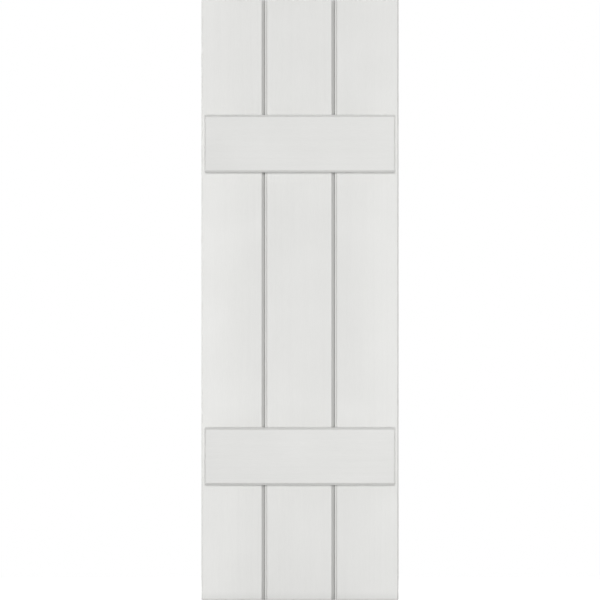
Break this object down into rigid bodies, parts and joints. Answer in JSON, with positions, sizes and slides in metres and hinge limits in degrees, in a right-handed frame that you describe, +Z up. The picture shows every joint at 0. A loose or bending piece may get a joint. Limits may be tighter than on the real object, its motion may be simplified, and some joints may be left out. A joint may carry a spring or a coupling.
{
  "type": "board and batten shutter",
  "caption": "Upright wooden window shutter of tongue-and-groove boards with bevelled and beaded joints, held flat by wide battens across the front, painted off-white.",
  "frame": {"origin": "centre of the back face, on the plane that lies against the wall", "axes": "+Z up along the boards, +X to the right of a viewer who faces the front, +Y out of the back towards the wall"},
  "size_m": [0.3048, 0.0381, 0.9272],
  "materials": {
    "painted_board": "off-white paint on softwood, satin",
    "painted_batten": "off-white paint on softwood, satin",
    "screw_zinc": "zinc-plated steel"
  },
  "bodies": {
    "root": {"left_board": "painted_board", "middle_board": "painted_board", "right_board": "painted_board", "upper_batten": "painted_batten", "lower_batten": "painted_batten"}
  },
  "joints": []
}
